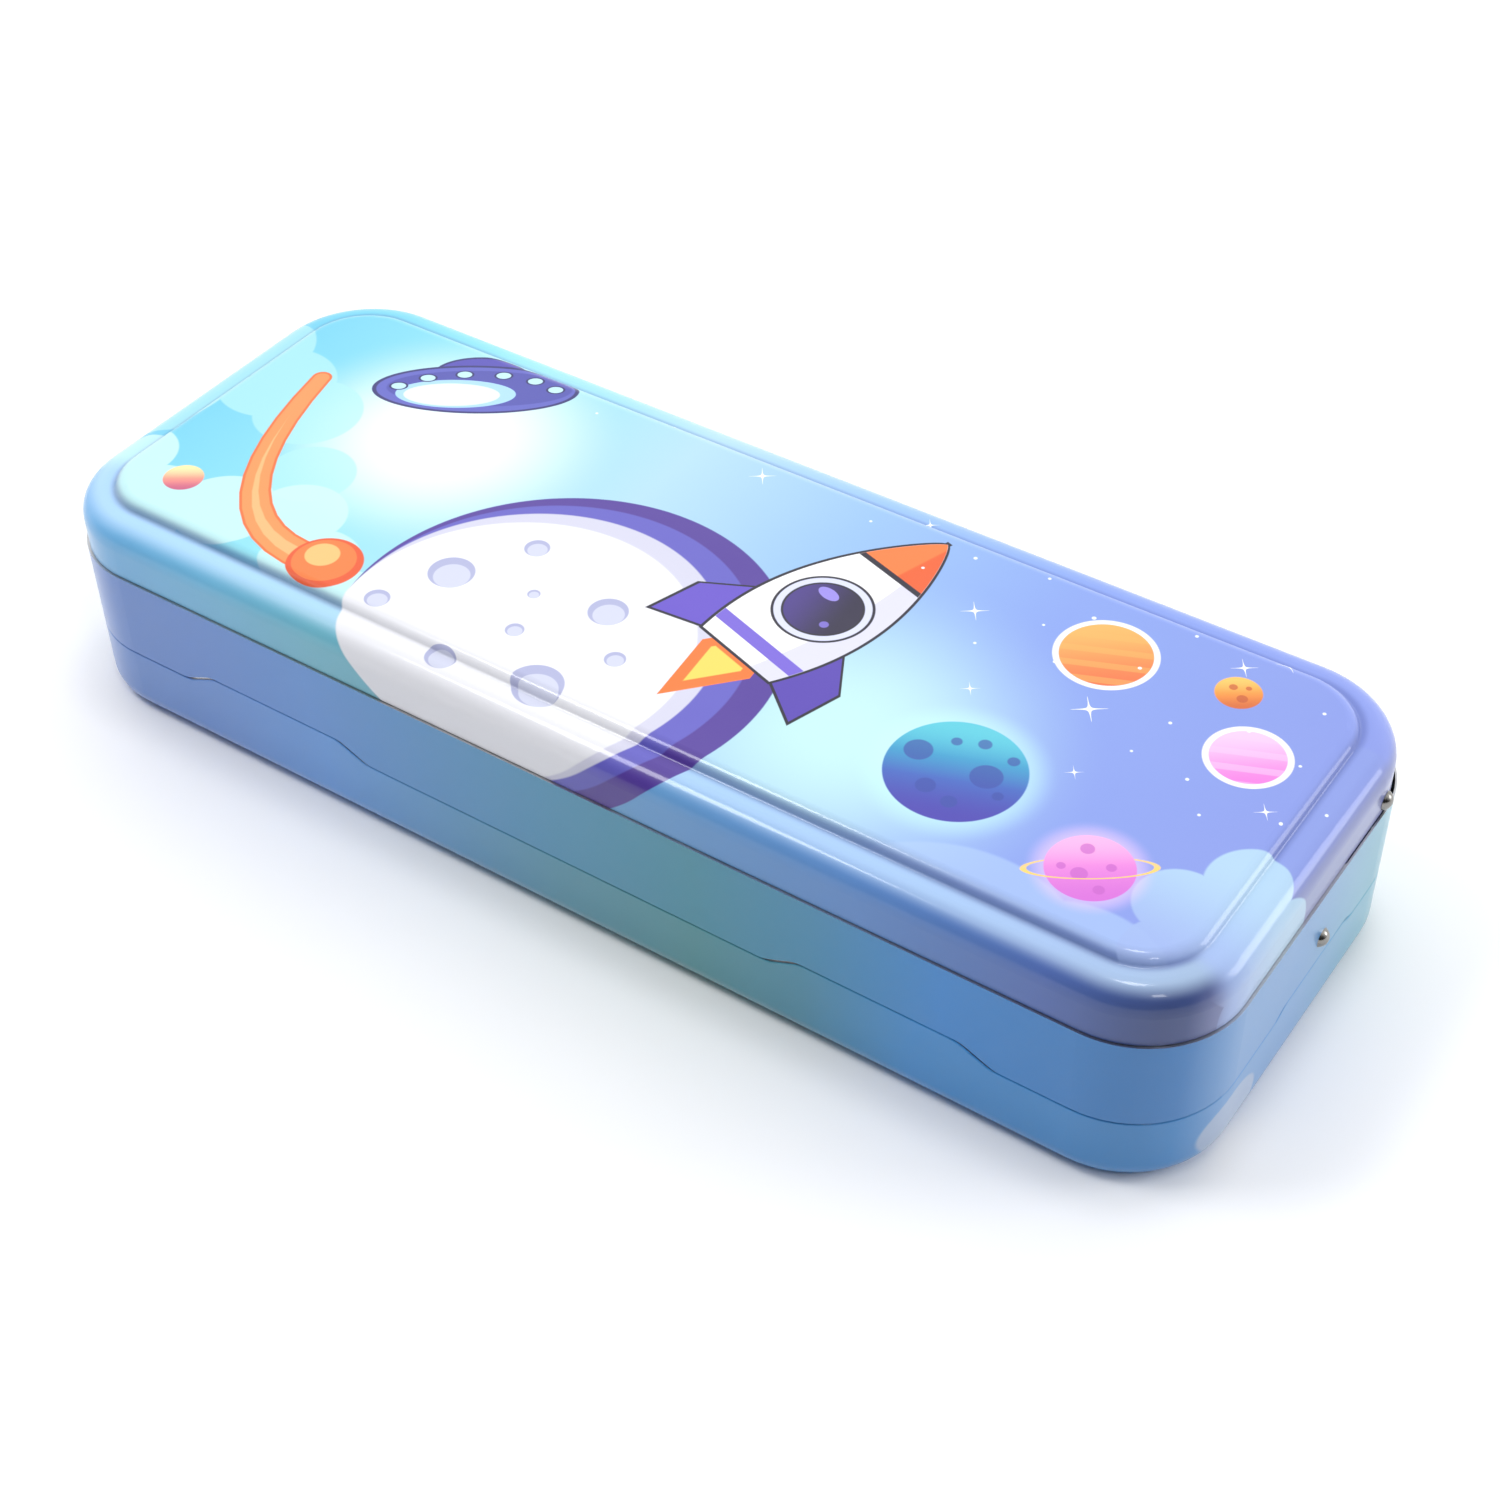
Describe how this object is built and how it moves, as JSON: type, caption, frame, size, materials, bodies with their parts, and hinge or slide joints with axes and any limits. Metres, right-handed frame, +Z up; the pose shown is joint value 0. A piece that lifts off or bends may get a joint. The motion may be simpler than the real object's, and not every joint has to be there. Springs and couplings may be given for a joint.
{
  "type": "pencil case",
  "caption": "Two-tier tinplate pencil case with a riveted lid, an upper pan inside a middle band and a deep bottom tray.",
  "frame": {"origin": "centre of the case's plan, on the flat base it stands on", "axes": "+X along the length, +Y to the back where the hinges are, +Z up"},
  "size_m": [0.2274, 0.0872, 0.042],
  "materials": {
    "print_lid": "glossy varnished print",
    "print_middle": "glossy varnished print",
    "print_bottom": "glossy varnished print",
    "bare_tin": "bright tinplate with clear lacquer",
    "rivet_steel": "bright plated",
    "hinge_steel": "plated sheet and wire"
  },
  "bodies": {
    "tray": {"bottom_tray": "print_bottom", "tray_collar": "bare_tin", "hinge_lower_leaf_left": "hinge_steel", "hinge_pin_left": "hinge_steel", "hinge_lower_leaf_right": "hinge_steel", "hinge_pin_right": "hinge_steel"},
    "tier": {"middle_band": "print_middle", "upper_pan": "bare_tin", "lid_pivot_left": "rivet_steel", "pivot_spacer_left": "rivet_steel", "pivot_washer_left": "rivet_steel", "pan_rivet_left": "rivet_steel", "pan_spacer_left": "rivet_steel", "hinge_upper_leaf_left": "hinge_steel", "lid_pivot_right": "rivet_steel", "pivot_spacer_right": "rivet_steel", "pivot_washer_right": "rivet_steel", "pan_rivet_right": "rivet_steel", "pan_spacer_right": "rivet_steel", "hinge_upper_leaf_right": "hinge_steel"},
    "lid": {"lid_shell": "print_lid"}
  },
  "joints": [
    {"name": "tier_hinge", "type": "hinge", "parent": "tray", "child": "tier", "pos_m": [0, 0.0437, 0.0138], "axis": [-1, 0, 0], "range_deg": [0, 100]},
    {"name": "lid_hinge", "type": "hinge", "parent": "tier", "child": "lid", "pos_m": [0, 0.024, 0.0327], "axis": [-1, 0, 0], "range_deg": [0, 94]}
  ]
}
